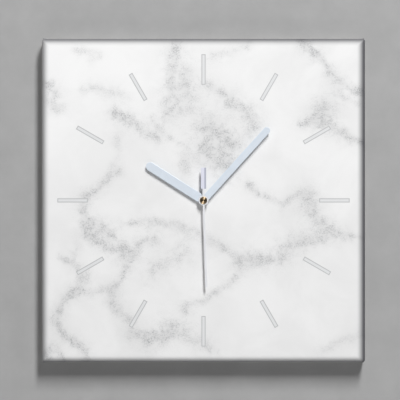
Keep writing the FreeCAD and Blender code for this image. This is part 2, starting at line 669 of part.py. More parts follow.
def negative_contact():
    """The left-hand contact: a bowed leaf on a plate, with a strip up to the board."""
    outer = -CONTACT_X
    inner = outer + SPRING_SHEET
    wall = block((outer, inner), CONTACT_Y, CONTACT_Z)
    tip = -BATTERY_LENGTH / 2 - RUN
    bow = [(inner, BATTERY_Z - 4.0), (tip, BATTERY_Z - 0.8), (tip, BATTERY_Z + 0.8), (inner, BATTERY_Z + 4.0)]
    bow += [(inner, BATTERY_Z + 3.2), (tip - SPRING_SHEET, BATTERY_Z + 0.6)]
    bow += [(tip - SPRING_SHEET, BATTERY_Z - 0.6), (inner, BATTERY_Z - 3.2)]
    leaf = plate(bow, (battery_y() - 2.0, battery_y() + 2.0))
    riser = block((outer, inner), STRIP_LAYER, (CONTACT_Z[1] - 1, 0.0))
    tab = block((outer, -24.0), (BOARD_LAYER[1], BOARD_LAYER[1] + SPRING_SHEET), (-1.5, 0.0))
    return joined([wall, leaf, riser, tab])


def battery_y():
    """Depth of the battery's axis, just clear of the case's floor."""
    return CASE_FRONT + CASE_WALL + 0.15 + BATTERY_RADIUS


SLEEVE = 0.1
NUB = {"radius": 2.75, "length": 1.2}


def battery_cell():
    """An AA cell with its raised positive end."""
    half = BATTERY_LENGTH / 2
    body = rod_x(BATTERY_RADIUS - SLEEVE - RUN, (-half, half - NUB["length"]), battery_y(), BATTERY_Z)
    nub = rod_x(NUB["radius"], (half - NUB["length"] - 0.5, half), battery_y(), BATTERY_Z)
    return joined([body, nub])


def battery_sleeve():
    """The plain printed sleeve round the cell."""
    half = BATTERY_LENGTH / 2
    x = (-half + 0.3, half - NUB["length"] - 0.3)
    outside = rod_x(BATTERY_RADIUS, x, battery_y(), BATTERY_Z)
    return outside.cut(rod_x(BATTERY_RADIUS - SLEEVE, (x[0] - 1, x[1] + 1), battery_y(), BATTERY_Z))


# ---------------------------------------------------------------- hands
def baton(hand, front):
    """A straight hand with rounded ends, pointing to its place on the dial."""
    radius = hand["width"] / 2
    y = (front, front + HAND_THICKNESS)
    blade = block((-radius, radius), y, (0, hand["length"] - radius))
    tip = disc(radius, y, (0, hand["length"] - radius))
    return spun(joined([blade, tip, disc(radius, y)]), hand["angle"])


def hour_hand():
    """The short broad hand."""
    hole = disc(HOUR_PIPE["outer"] + FIT, (HOUR_HAND_Y - 1, HOUR_HAND_Y + 1))
    return baton(HOUR_HAND, HOUR_HAND_Y).cut(hole)


def hour_hand_collet():
    """The brass ring riveted behind the hour hand, a push fit on the hour pipe."""
    back = HOUR_HAND_Y + HAND_THICKNESS
    return ring(3.3, HOUR_PIPE["outer"] + FIT, (back, back + 1.8))


def keyed_hole(y):
    """The minute pipe's section with a little room round it, turned to the hand's angle."""
    half = MINUTE_PIPE["flat"] + FIT
    hole = disc(MINUTE_PIPE["outer"] + FIT, y).common(block((-half, half), y, (-3.0, 3.0)))
    return spun(hole, MINUTE_HAND["angle"])


def minute_hand():
    """The long hand, keyed to the flats of its pipe."""
    return baton(MINUTE_HAND, MINUTE_HAND_Y).cut(keyed_hole((MINUTE_HAND_Y - 1, MINUTE_HAND_Y + 1)))


def minute_hand_collet():
    """The small ring behind the minute hand."""
    back = MINUTE_HAND_Y + HAND_THICKNESS
    hole = disc(MINUTE_PIPE["outer"] + FIT, (back - 1, back + 1))
    return disc(2.6, (back, back + 0.7)).cut(hole)


def second_hand():
    """The thin hand with its round hub, its broad tail and the tube that grips the arbor."""
    y = (SECOND_HAND_Y, SECOND_HAND_Y + HAND_THICKNESS)
    half = SECOND_HAND["width"] / 2
    neck = SECOND_TAIL["neck_width"] / 2
    broad = SECOND_TAIL["width"] / 2
    pieces = [
        disc(HUB_RADIUS, y),
        spun(block((-half, half), y, (0, SECOND_HAND["length"])), SECOND_HAND["lean"]),
        block((-neck, neck), y, (-SECOND_TAIL["neck_end"], 0)),
        block((-broad, broad), y, (-SECOND_TAIL["end"], -SECOND_TAIL["neck_end"])),
        disc(1.2, (y[1] - 0.1, y[1] + 0.8)),
    ]
    hand = spun(joined(pieces), SECOND_HAND["angle"])
    return hand.cut(disc(ARBOR + FIT, (y[0] - 1, y[1] + 1)))


def second_hand_cap():
    """The turned brass cap over the end of the second arbor, slightly dished."""
    back = SECOND_HAND_Y
    front = back - 0.8
    bore = ARBOR + FIT
    profile = [(0, front + 0.12), (CAP_RADIUS - 0.45, front), (CAP_RADIUS, front + 0.25), (CAP_RADIUS, back)]
    profile += [(bore, back), (bore, back - 0.45), (0, back - 0.45)]
    return turned(profile)


# ---------------------------------------------------------------- the whole clock
def clock():
    """Every node's name with its solid, or its list of solids, about the dial axis."""
    core = frame_core()
    nodes = stretcher_bars(core)
    nodes["backing_board"] = backing_board(core)
    nodes["canvas_wrap"] = canvas_wrap(core)
    makers = (
        staples, corner_fasteners, sawtooth_hanger, hanger_nails, threaded_bush, hex_nut, brass_washer,
        rubber_washer, movement_front_case, movement_rear_cover, middle_plate, hour_wheel, minute_pipe,
        minute_wheel, setting_knob, centre_wheel, third_wheel, second_wheel, second_arbor, step_wheel,
        rotor_pinion, rotor_magnet, stator, coil_core, coil_bobbin, coil_winding, circuit_board,
        quartz_crystal, chip_blob, positive_contact, negative_contact, battery_cell, battery_sleeve,
        hour_hand, hour_hand_collet, minute_hand, minute_hand_collet, second_hand, second_hand_cap,
    )
    for maker in makers:
        nodes[maker.__name__] = maker()
    return nodes


def main():
    os.makedirs("parts", exist_ok=True)
    for name, made in clock().items():
        shape = Part.makeCompound(made) if isinstance(made, list) else made
        shape.translate(V(0, 0, -HANGER_HEIGHT))
        shape.exportStep("parts/" + name + ".step")
        state = "valid" if shape.isValid() else "INVALID"
        print(f"{name:24s} {len(shape.Solids):3d} solids {shape.Volume:12.2f} mm3 {state}")


main()
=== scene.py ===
import json
import math

import bmesh
import bpy
import numpy as np
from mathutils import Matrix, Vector, noise

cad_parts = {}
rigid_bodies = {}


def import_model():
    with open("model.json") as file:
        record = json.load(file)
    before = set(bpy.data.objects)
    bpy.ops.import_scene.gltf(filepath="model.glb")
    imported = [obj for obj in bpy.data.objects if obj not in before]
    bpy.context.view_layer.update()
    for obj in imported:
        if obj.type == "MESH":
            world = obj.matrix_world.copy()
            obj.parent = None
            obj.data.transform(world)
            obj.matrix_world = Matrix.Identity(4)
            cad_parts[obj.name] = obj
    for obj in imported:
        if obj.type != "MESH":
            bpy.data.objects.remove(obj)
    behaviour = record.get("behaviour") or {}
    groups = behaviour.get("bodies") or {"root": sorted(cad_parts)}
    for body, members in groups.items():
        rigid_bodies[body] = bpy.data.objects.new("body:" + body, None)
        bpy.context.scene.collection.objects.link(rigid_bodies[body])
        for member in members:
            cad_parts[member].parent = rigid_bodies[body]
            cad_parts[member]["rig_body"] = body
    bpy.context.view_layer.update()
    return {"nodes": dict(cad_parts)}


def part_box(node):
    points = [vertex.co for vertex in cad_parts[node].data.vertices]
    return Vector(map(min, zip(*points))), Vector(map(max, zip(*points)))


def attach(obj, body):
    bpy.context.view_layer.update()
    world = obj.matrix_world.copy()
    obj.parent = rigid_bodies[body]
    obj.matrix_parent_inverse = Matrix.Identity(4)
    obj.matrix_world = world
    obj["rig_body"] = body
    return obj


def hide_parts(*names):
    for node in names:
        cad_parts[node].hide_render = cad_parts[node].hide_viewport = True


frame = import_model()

MM = 0.001

# ---- The face, from the frame ----
CANVAS_LOW, CANVAS_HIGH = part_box("canvas_wrap")
FRONT = CANVAS_LOW.y
HALF = (CANVAS_HIGH.x - CANVAS_LOW.x) / 2
DIAL = Vector((0.0, FRONT, (CANVAS_LOW.z + CANVAS_HIGH.z) / 2))
DEPTH = -FRONT

# ---- Canvas, metres ----
EDGE_RADIUS = 6.0 * MM
CORNER_RADIUS = 2.0 * MM
BACK_RADIUS = 0.8 * MM
FLAP = 20.0 * MM
CLOTH = 0.45 * MM
CELL = 1.65 * MM
PIPE_HOLE = 3.4 * MM
FLAT_HALF = HALF - EDGE_RADIUS
WEAVE = 0.8 * MM

# ---- Hour marks, metres from the dial axis ----
MARK = {"inner": 107.1 * MM, "outer": 135.4 * MM, "width": 3.9 * MM, "line": 0.85 * MM}

# ---- The grey band of painted shade round each edge ----
# Its strength, and where it starts and peaks past the flat face.
PAINTED_EDGE_SHADE = {
    "right": (0.93, -2.5 * MM, 5.5 * MM),
    "left": (0.62, -2.0 * MM, 8.0 * MM),
    "top": (0.85, -1.5 * MM, 6.5 * MM),
    "bottom": (0.85, -0.5 * MM, 9.0 * MM),
}
# painted shade: this share of the grey stays on the sides
PAINTED_SIDE_SHADE = 0.65           # share of that grey left on the side itself

# ---- Hands, metres ----
HOUR_HAND = {"length": 62.4 * MM, "width": 8.1 * MM, "angle": 302.5,
             "bore": 2.57 * MM, "flat": 2.57 * MM}
MINUTE_HAND = {"length": 90.3 * MM, "width": 6.2 * MM, "angle": 42.1,
               "bore": 1.62 * MM, "flat": 1.32 * MM}
CHAMFER = (0.35 * MM, 0.12 * MM)     # how far in, and how deep, the front edge is rounded off
# painted shade: a greyer strip down the right of the second hand's tail
TAIL_PAINTED_SHADE = (0.75 * MM, 10.7 * MM)  # the second hand's greyer strip begins right of and above the axis
CAP_RADIUS = 3.4 * MM

# ---- How wide the sharp edges of these nodes are rounded, metres ----
ROUNDED = {
    "stretcher_bar_top": 0.8 * MM,
    "stretcher_bar_right": 0.8 * MM,
    "stretcher_bar_bottom": 0.8 * MM,
    "stretcher_bar_left": 0.8 * MM,
    "sawtooth_hanger": 0.12 * MM,
    "movement_rear_cover": 0.4 * MM,
}

# ---- Marble veins: strength, half width in mm, and points (right, up) in mm from the dial axis ----
VEINS = (
    (0.95, 3.0, ((86, 160), (94, 145), (104, 136), (113, 128), (120, 117), (129, 108), (141, 101),
                 (160, 97))),
    (0.45, 2.5, ((122, 104), (133, 92), (143, 88))),
    (1.00, 4.5, ((112, 84), (103, 76), (110, 72), (114, 77))),
    (0.90, 2.5, ((90, 70), (99, 73), (107, 80), (113, 87))),
    (0.75, 2.6, ((113, 72), (121, 66), (129, 61), (143, 55), (160, 50))),
    (0.62, 5.0, ((-25, 158), (-26, 143), (-29, 126), (-31, 110), (-31, 93), (-33, 77))),
    (0.55, 4.0, ((-17, 122), (-19, 108), (-16, 97))),
    (0.50, 3.2, ((4, 106), (20, 99), (32, 88), (45, 78), (48, 71), (42, 60))),
    (0.45, 5.0, ((24, 92), (34, 84), (44, 76))),
    (0.75, 3.6, ((-82, 80), (-68, 74), (-60, 68), (-52, 62), (-41, 58))),
    (0.45, 1.1, ((-50, 76), (-38, 65), (-26, 56), (-12, 47))),
    (0.95, 4.0, ((-1, 68), (11, 65), (20, 60), (29, 52))),
    (1.00, 5.5, ((3, 47), (14, 42), (20, 34), (22, 27))),
    (0.60, 4.0, ((-18, 36), (-17, 28))),
    (0.85, 1.7, ((42, 15), (46, 10), (50, 5))),
    (0.45, 2.4, ((50, 5), (62, 2), (73, -3), (85, 6), (99, 4))),
    (0.80, 3.4, ((99, 4), (101, -13), (109, -22), (121, -31))),
    (0.70, 1.7, ((121, -31), (132, -32), (143, -34), (160, -36))),
    (0.70, 3.0, ((121, -31), (108, -36), (87, -40), (72, -46))),
    (0.85, 4.2, ((72, -52), (57, -56), (41, -54), (34, -55))),
    (0.45, 3.2, ((34, -53), (20, -46), (8, -38), (-6, -30), (-26, -24), (-50, -20), (-74, -22))),
    (0.75, 2.6, ((-78, 28), (-87, 21), (-96, 13), (-107, 6))),
    (0.95, 3.8, ((-107, 6), (-110, -11), (-106, -23), (-103, -32), (-90, -43), (-72, -49))),
    (0.70, 3.0, ((-103, -26), (-90, -27), (-79, -38), (-68, -47), (-59, -40), (-46, -36))),
    (0.70, 2.6, ((-69, -50), (-72, -62), (-77, -74), (-86, -85), (-85, -96), (-76, -105), (-65, -112))),
    (0.85, 5.0, ((-66, -124), (-52, -127), (-38, -125), (-30, -120))),
    (0.35, 4.0, ((-30, -120), (-15, -125), (-2, -133), (12, -139))),
    (0.85, 2.8, ((-112, -82), (-124, -88), (-133, -98), (-137, -113), (-131, -124), (-119, -131),
                 (-110, -141), (-106, -158))),
    (0.60, 1.3, ((-133, -52), (-122, -58), (-119, -45))),
    (0.60, 1.3, ((-128, -54), (-118, -62), (-112, -68))),
    (0.45, 3.2, ((-112, -68), (-111, -81), (-101, -86), (-89, -83), (-86, -92))),
    (0.45, 2.8, ((36, -63), (25, -76), (12, -86), (-1, -92), (-15, -98), (-17, -106))),
    (0.32, 7.0, ((-14, -36), (-22, -52), (-36, -58), (-46, -66))),
    (0.55, 3.0, ((-158, 110), (-143, 107), (-137, 99), (-143, 92), (-134, 85))),
    (0.30, 3.6, ((-119, 141), (-105, 137), (-95, 134), (-104, 129))),
    (0.32, 3.2, ((-112, 102), (-98, 103), (-88, 100), (-72, 97))),
    (0.35, 3.2, ((112, -139), (124, -132), (143, -125), (158, -120))),
    (0.30, 3.2, ((4, 130), (20, 136), (38, 142), (50, 158))),
    (0.60, 2.0, ((-147, -147), (-142, -135), (-134, -142), (-128, -158))),
    (0.25, 4.0, ((-80, 56), (-78, 47), (-83, 35), (-80, 28))),
    (0.32, 2.4, ((-26, 86), (-12, 83), (0, 79), (9, 74))),
    (0.30, 9.0, ((8, 58), (20, 48), (14, 36))),
    (0.22, 9.0, ((-14, 112), (-12, 92), (-30, 84))),
    (0.20, 10.0, ((96, -4), (104, -16), (100, -32), (74, -44))),
)
HALO = (0.30, 3.0)                              # strength and spread of the grey haze round each vein
STRANDS = ((1.0, 1.0, 0.0), (0.55, 1.9, 40.0))  # strength, reach and seed of each strand of a vein
WARP = ((17.0, 3.0), (5.0, 1.5), (2.6, 0.8))    # period and reach, in mm, of the wander of a strand


# ---------------------------------------------------------------- colours and node wiring
def linear(level):
    """One display level, 0 to 255, as a linear one."""
    if level <= 10:
        return level / 255 / 12.92
    return ((level / 255 + 0.055) / 1.055) ** 2.4


def srgb(red, green, blue):
    """A display colour, 0 to 255, as a linear one."""
    return (linear(red), linear(green), linear(blue), 1.0)


def grey(level):
    """A linear grey."""
    return (level, level, level, 1.0)


class Surface:
    """One procedural material, with short calls that wire its nodes."""

    def __init__(self, name, colour=None, roughness=0.5, metallic=0.0, **sockets):
        self.material = bpy.data.materials.new(name)
        self.material.use_nodes = True
        self.tree = self.material.node_tree
        self.shader = self.tree.nodes["Principled BSDF"]
        self.put("Roughness", roughness)
        self.put("Metallic", metallic)
        if colour is not None:
            self.put("Base Color", colour)
        for socket, value in sockets.items():
            self.put(socket.replace("_", " "), value)
        self.point = self.add("TexCoord").outputs["Object"]

    def put(self, socket, value):
        """Sets or links one socket of the shader."""
        self.join(self.shader.inputs[socket], value)

    def join(self, socket, value):
        """Links a socket to another, or sets it to a plain value."""
        if isinstance(value, bpy.types.NodeSocket):
            self.tree.links.new(value, socket)
        else:
            socket.default_value = value

    def add(self, kind, inputs=None, **settings):
        """A new node; inputs maps socket names or numbers to values or sockets."""
        node = self.tree.nodes.new("ShaderNode" + kind)
        for key, value in settings.items():
            setattr(node, key, value)
        for key, value in (inputs or {}).items():
            self.join(node.inputs[key], value)
        return node

    def math(self, operation, first, second=0.0, third=0.0):
        """One step of arithmetic on values or sockets."""
        inputs = {0: first, 1: second}
        if operation in ("MULTIPLY_ADD", "WRAP"):
            inputs[2] = third
        return self.add("Math", inputs, operation=operation).outputs[0]

    def length(self, first, second):
        """The length of the diagonal of two distances."""
        squares = [self.math("POWER", side, 2.0) for side in (first, second)]
        return self.math("SQRT", self.math("ADD", *squares))

    def split(self, vector=None):
        """The X, Y and Z of a vector, or of the place on the object."""
        return self.add("SeparateXYZ", {0: vector or self.point}).outputs

    def attribute(self, name, output="Fac"):
        """A value stored on the mesh."""
        return self.add("Attribute", attribute_name=name).outputs[output]

    def stretched(self, scale):
        """The coordinates, multiplied along each axis."""
        return self.add("Mapping", {"Vector": self.point, "Scale": scale}).outputs[0]

    def noise(self, period, detail=2.0, roughness=0.5, vector=None, distortion=0.0):
        """Noise from 0 to 1 with features about one period apart, in metres."""
        inputs = {"Vector": vector or self.point, "Scale": 1.0 / period, "Detail": detail,
                  "Roughness": roughness, "Distortion": distortion}
        return self.add("TexNoise", inputs).outputs[0]

    def cells(self, period, feature="F1", output="Distance"):
        """A pattern of cells about one period across, in metres."""
        inputs = {"Vector": self.point, "Scale": 1.0 / period}
        return self.add("TexVoronoi", inputs, feature=feature).outputs[output]

    def ramp(self, value, *stops):
        """A colour ramp through (position, colour) stops."""
        node = self.add("ValToRGB", {0: value})
        elements = node.color_ramp.elements
        while len(elements) < len(stops):
            elements.new(0.5)
        for element, (position, colour) in zip(elements, stops):
            element.position = position
            element.color = colour
        return node.outputs[0]

    def range(self, value, low, high, to_low, to_high, smooth=False):
        """Maps a value from one range to another and keeps it there."""
        kind = "SMOOTHSTEP" if smooth else "LINEAR"
        inputs = {"Value": value, "From Min": low, "From Max": high, "To Min": to_low, "To Max": to_high}
        return self.add("MapRange", inputs, interpolation_type=kind, clamp=True).outputs[0]

    def mix(self, share, first, second):
        """Two colours or values, mixed by share."""
        return self.add("Mix", {0: share, 6: first, 7: second}, data_type="RGBA").outputs[2]

    def bump(self, height, distance, strength=1.0):
        """Relief of the given height in metres on the shader's normal."""
        inputs = {"Height": height, "Distance": distance, "Strength": strength}
        self.put("Normal", self.add("Bump", inputs).outputs[0])


def varied(name, colour, roughness, period, metallic=0.0, spread=0.12, stretch=(1, 1, 1), relief=0.01 * MM,
           **sockets):
    """A surface whose colour, gloss and relief all vary a little at one scale."""
    made = Surface(name, roughness=roughness, metallic=metallic, **sockets)
    fine = made.noise(period, 4.0, 0.6, made.stretched(stretch))
    broad = made.noise(period * 14, 2.0)
    dark = tuple(c * (1 - spread) for c in colour[:3]) + (1.0,)
    light = tuple(min(1.0, c * (1 + spread * 0.6)) for c in colour[:3]) + (1.0,)
    tone = made.mix(0.4, fine, broad)
    made.put("Base Color", made.ramp(tone, (0.3, dark), (0.7, light)))
    made.put("Roughness", made.range(tone, 0.3, 0.7, roughness * 0.85, min(1.0, roughness * 1.2)))
    made.bump(fine, relief, 0.6)
    return made.material


# ---------------------------------------------------------------- materials
def painted_edge_shade(made, across, up):
    """How grey the painted shade turns the print where the cloth rounds an edge, from its place on the
    cloth.
    """
    left = made.math("MULTIPLY", across, -1.0)
    below = made.math("MULTIPLY", up, -1.0)
    shade = 0.0
    for side, distance in (("right", across), ("left", left), ("top", up), ("bottom", below)):
        strength, start, peak = PAINTED_EDGE_SHADE[side]
        full, fading = FLAT_HALF + peak, FLAT_HALF + peak + 3 * MM
        rise = made.range(distance, FLAT_HALF + start, full, 0.0, strength, True)
        fall = made.range(distance, fading, full + 9 * MM, 1.0, PAINTED_SIDE_SHADE, True)
        shade = made.math("MAXIMUM", shade, made.math("MULTIPLY", rise, fall))
    return shade


def marble(made, cloth, across, up):
    """The print: clouded white, with painted light making it paler to the upper left, and grey speckles
    that gather in the veins.
    """
    grains = made.range(made.noise(1.35 * MM, 4.0, 0.85, cloth, 0.4), 0.42, 0.66, 0.0, 1.0)
    patches = made.range(made.noise(7.0 * MM, 4.0, 0.65, cloth, 0.5), 0.38, 0.62, 0.0, 1.0)
    broken = made.math("MULTIPLY", grains, patches)
    speckled = made.math("MULTIPLY", made.attribute("vein"), made.math("MULTIPLY_ADD", broken, 1.25, 0.34))
    ink = made.range(made.math("POWER", speckled, 1.15), 0.0, 1.0, 0.0, 0.60)
    cloud = made.range(made.noise(55 * MM, 4.0, 0.55, cloth, 0.6), 0.35, 0.68, 0.0, 1.0, True)
    ground = made.ramp(cloud, (0.0, srgb(244, 244, 244)), (1.0, srgb(237, 237, 237)))
    # painted light: the print is washed paler towards the upper left corner
    paler = made.range(made.math("SUBTRACT", up, across), 60 * MM, 260 * MM, 0.0, 0.6, True)
    return made.mix(ink, made.mix(paler, ground, srgb(253, 253, 253)), srgb(128, 130, 133))


def hour_marks(made, across, up):
    """Two masks of the twelve marks: each whole mark, and the part inside its outline."""
    radius = made.length(across, up)
    sector = math.radians(30)
    turn = made.math("WRAP", made.math("ARCTAN2", across, up), sector / 2, -sector / 2)
    along = made.math("MULTIPLY", radius, made.math("COSINE", turn))
    aside = made.math("ABSOLUTE", made.math("MULTIPLY", radius, made.math("SINE", turn)))
    middle = (MARK["outer"] + MARK["inner"]) / 2
    half = (MARK["outer"] - MARK["inner"]) / 2
    end = made.math("SUBTRACT", made.math("ABSOLUTE", made.math("SUBTRACT", along, middle)), half)
    side = made.math("SUBTRACT", aside, MARK["width"] / 2)
    outside = made.math("MAXIMUM", end, side)
    soft = 0.1 * MM
    whole = made.range(outside, -soft, soft, 1.0, 0.0)
    inside = made.range(outside, -MARK["line"] - soft, -MARK["line"] + soft, 1.0, 0.0)
    return whole, inside


def weave(made, cloth, across, up):
    """The height of the threads, which pass over each other by turns and swell here and there."""
    threads = [made.math("SINE", made.math("MULTIPLY", axis, math.pi / WEAVE)) for axis in (across, up)]
    over = made.math("ABSOLUTE", made.math("MULTIPLY", *threads))
    slubs = made.noise(2.2 * MM, 3.0, 0.6, cloth)
    return made.math("MULTIPLY", over, made.range(slubs, 0.3, 0.7, 0.4, 1.0))


def printed_canvas():
    """Primed canvas with a marble print, outlined hour marks and painted shade round the edges; bare cloth
    on the turned-over flaps.
    """
    made = Surface("printed_canvas", roughness=0.72, Specular_IOR_Level=0.3)
    cloth = made.attribute("cloth", "Vector")
    across, up, _ = made.split(cloth)
    whole, inside = hour_marks(made, across, up)
    outlined = made.mix(whole, marble(made, cloth, across, up), srgb(196, 197, 198))
    marked = made.mix(inside, outlined, srgb(229, 230, 231))
    # painted shade: the print is mixed towards dark grey round the rounded edges and down the sides
    print_with_painted_shade = made.mix(painted_edge_shade(made, across, up), marked, srgb(70, 70, 76))
    reach = made.math("MAXIMUM", made.math("ABSOLUTE", across), made.math("ABSOLUTE", up))
    bare = made.range(reach, HALF + DEPTH - 4 * MM, HALF + DEPTH - 2 * MM, 0.0, 1.0)
    made.put("Base Color", made.mix(bare, print_with_painted_shade, srgb(226, 221, 208)))
    made.bump(weave(made, cloth, across, up), 0.03 * MM, 0.5)
    return made.material


def pine(name, along_x):
    """Planed pine: growth rings drawn out along the bar, darker late wood, a few fine pores."""
    made = Surface(name, roughness=0.62)
    long_axis, cross = 0.06, 1.0
    scale = (long_axis, cross, cross) if along_x else (cross, cross, long_axis)
    grain = made.stretched(scale)
    rings = made.noise(5.0 * MM, 2.0, 0.45, grain, 1.2)
    bands = made.math("FRACT", made.math("MULTIPLY", rings, 7.0))
    fibres = made.noise(0.5 * MM, 3.0, 0.7, grain)
    tone = made.mix(0.35, bands, fibres)
    early, middle, late = srgb(236, 212, 168), srgb(226, 194, 143), srgb(196, 150, 95)
    colours = made.ramp(tone, (0.1, early), (0.6, middle), (0.95, late))
    blotch = made.range(made.noise(60 * MM), 0.35, 0.65, 0.0, 0.25)
    made.put("Base Color", made.mix(blotch, colours, srgb(214, 176, 122)))
    made.put("Roughness", made.range(fibres, 0.3, 0.7, 0.55, 0.78))
    made.bump(fibres, 0.06 * MM, 0.5)
    return made.material


def fibreboard():
    """Smooth brown board with fine flecks of fibre."""
    made = Surface("fibreboard", roughness=0.75)
    flecks = made.noise(0.7 * MM, 5.0, 0.75)
    broad = made.noise(25 * MM, 2.0)
    tone = made.mix(0.3, flecks, broad)
    made.put("Base Color", made.ramp(tone, (0.3, srgb(150, 118, 84)), (0.7, srgb(189, 156, 117))))
    made.bump(flecks, 0.03 * MM, 0.5)
    return made.material


def zinc_steel():
    """Zinc plate with its faint spangle and a few dull stains."""
    made = Surface("zinc_steel", metallic=1.0)
    spangle = made.cells(2.5 * MM, output="Color")
    stain = made.noise(4 * MM, 4.0, 0.6)
    made.put("Base Color", made.ramp(stain, (0.3, grey(0.50)), (0.7, grey(0.70))))
    made.put("Roughness", made.range(spangle, 0.0, 1.0, 0.28, 0.50))
    made.bump(stain, 0.01 * MM, 0.4)
    return made.material


def turned_brass():
    """Lathe-turned brass: fine rings about the dial axis and a highlight that fans out across them."""
    made = Surface("turned_brass", metallic=1.0, Anisotropic=0.92, Anisotropic_Rotation=0.25)
    centred = made.add("Mapping", {"Vector": made.point, "Location": tuple(-c for c in DIAL)}).outputs[0]
    across, _, up = made.split(centred)
    radius = made.length(across, up)
    rings = made.math("SINE", made.math("MULTIPLY", radius, 2 * math.pi / (0.22 * MM)))
    tarnish = made.noise(1.6 * MM, 4.0, 0.6)
    made.put("Base Color", made.ramp(tarnish, (0.3, srgb(172, 146, 114)), (0.7, srgb(214, 190, 156))))
    made.put("Roughness", made.range(tarnish, 0.3, 0.7, 0.26, 0.40))
    made.put("Tangent", made.add("Tangent", direction_type="RADIAL", axis="Y").outputs[0])
    made.bump(rings, 0.003 * MM, 0.35)
    return made.material


def case_plastic():
    """Black moulded plastic with a fine spark-eroded grain, slightly greyed where hands have rubbed it."""
    made = Surface("case_plastic", roughness=0.5)
    grain = made.cells(0.35 * MM, "SMOOTH_F1")
    rubbed = made.noise(9 * MM, 4.0, 0.65)
    made.put("Base Color", made.ramp(rubbed, (0.35, grey(0.018)), (0.75, grey(0.036))))
    made.put("Roughness", made.range(rubbed, 0.35, 0.7, 0.42, 0.60))
    made.bump(grain, 0.02 * MM, 0.6)
    return made.material


def copper_winding():
    """Enamelled copper wire laid turn beside turn along the coil."""
    made = Surface("copper_winding", metallic=1.0)
    across, _, _ = made.split()
    turns = made.math("SINE", made.math("MULTIPLY", across, 2 * math.pi / (0.16 * MM)))
    tone = made.mix(0.5, turns, made.noise(0.8 * MM, 3.0))
    made.put("Base Color", made.ramp(tone, (0.1, srgb(146, 72, 34)), (0.8, srgb(214, 128, 74))))
    made.put("Roughness", made.range(turns, -1.0, 1.0, 0.45, 0.25))
    made.bump(turns, 0.03 * MM, 0.6)
    return made.material


def circuit_laminate():
    """Green solder mask over a maze of copper tracks."""
    made = Surface("circuit_laminate", roughness=0.35, Coat_Weight=0.3)
    layout = {"Vector": made.stretched((1, 0, 1)), "Scale": 1 / (3 * MM), "Mortar Size": 0.06}
    lines = made.add("TexBrick", layout).outputs[1]
    weave = made.noise(0.3 * MM, 2.0)
    base = made.ramp(weave, (0.3, srgb(16, 84, 44)), (0.7, srgb(24, 104, 56)))
    made.put("Base Color", made.mix(made.math("MULTIPLY", lines, 0.6), base, srgb(62, 140, 84)))
    made.bump(lines, 0.02 * MM, 0.5)
    return made.material


def hand_enamel(name, colour):
    """Satin enamel on sheet metal: a very fine orange peel and a faint unevenness of tone."""
    made = Surface(name, roughness=0.38, Coat_Weight=0.25, Coat_Roughness=0.18)
    peel = made.noise(0.5 * MM)
    tone = made.noise(9 * MM, 3.0, 0.6)
    dull = tuple(c * 0.965 for c in colour[:3]) + (1.0,)
    made.put("Base Color", made.ramp(tone, (0.35, dull), (0.65, colour)))
    made.put("Roughness", made.range(tone, 0.35, 0.65, 0.33, 0.44))
    made.bump(peel, 0.004 * MM, 0.5)
    return made.material


def second_enamel():
    """White enamel; the right-hand third of the tail is painted greyer, as painted shade."""
    made = Surface("second_enamel", roughness=0.38, Coat_Weight=0.25, Coat_Roughness=0.18)
    across, _, up = made.split()
    right, above = TAIL_PAINTED_SHADE
    soft = 0.1 * MM
    aside = made.range(across, right - soft, right + soft, 0.0, 1.0)
    higher = made.range(up, DIAL.z + above - soft, DIAL.z + above + soft, 0.0, 1.0)
    tone = made.noise(9 * MM, 3.0, 0.6)
    white = made.ramp(tone, (0.35, srgb(231, 232, 236)), (0.65, srgb(236, 237, 241)))
    # painted shade on the right-hand strip of the tail
    tail = made.mix(aside, srgb(228, 229, 243), srgb(180, 183, 198))
    made.put("Base Color", made.mix(higher, white, tail))
    made.put("Roughness", made.range(tone, 0.35, 0.65, 0.33, 0.44))
    made.bump(made.noise(0.5 * MM), 0.004 * MM, 0.5)
    return made.material


def cell_sleeve():
    """A plain blue sleeve with a paler band round its positive end."""
    _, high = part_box("battery_sleeve")
    made = Surface("cell_sleeve", roughness=0.28, Coat_Weight=0.4)
    across, _, _ = made.split()
    band = made.range(across, high.x - 12 * MM, high.x - 11.8 * MM, 0.0, 1.0)
    creases = made.noise(2.5 * MM, 3.0, 0.6, made.stretched((0.3, 1, 1)))
    blue = made.ramp(creases, (0.35, srgb(38, 62, 98)), (0.65, srgb(50, 78, 118)))
    made.put("Base Color", made.mix(band, blue, srgb(196, 200, 206)))
    made.bump(creases, 0.02 * MM, 0.4)
    return made.material


def brushed(name, colour, roughness, stretch=(1, 1, 0.05)):
    """A metal with a drawn or rolled grain."""
    return varied(name, colour, roughness, 0.25 * MM, 1.0, 0.10, stretch, 0.004 * MM)


def moulded(name, colour, roughness=0.45):
    """A pale or dark moulded plastic."""
    return varied(name, colour, roughness, 0.4 * MM, 0.0, 0.07, relief=0.008 * MM)


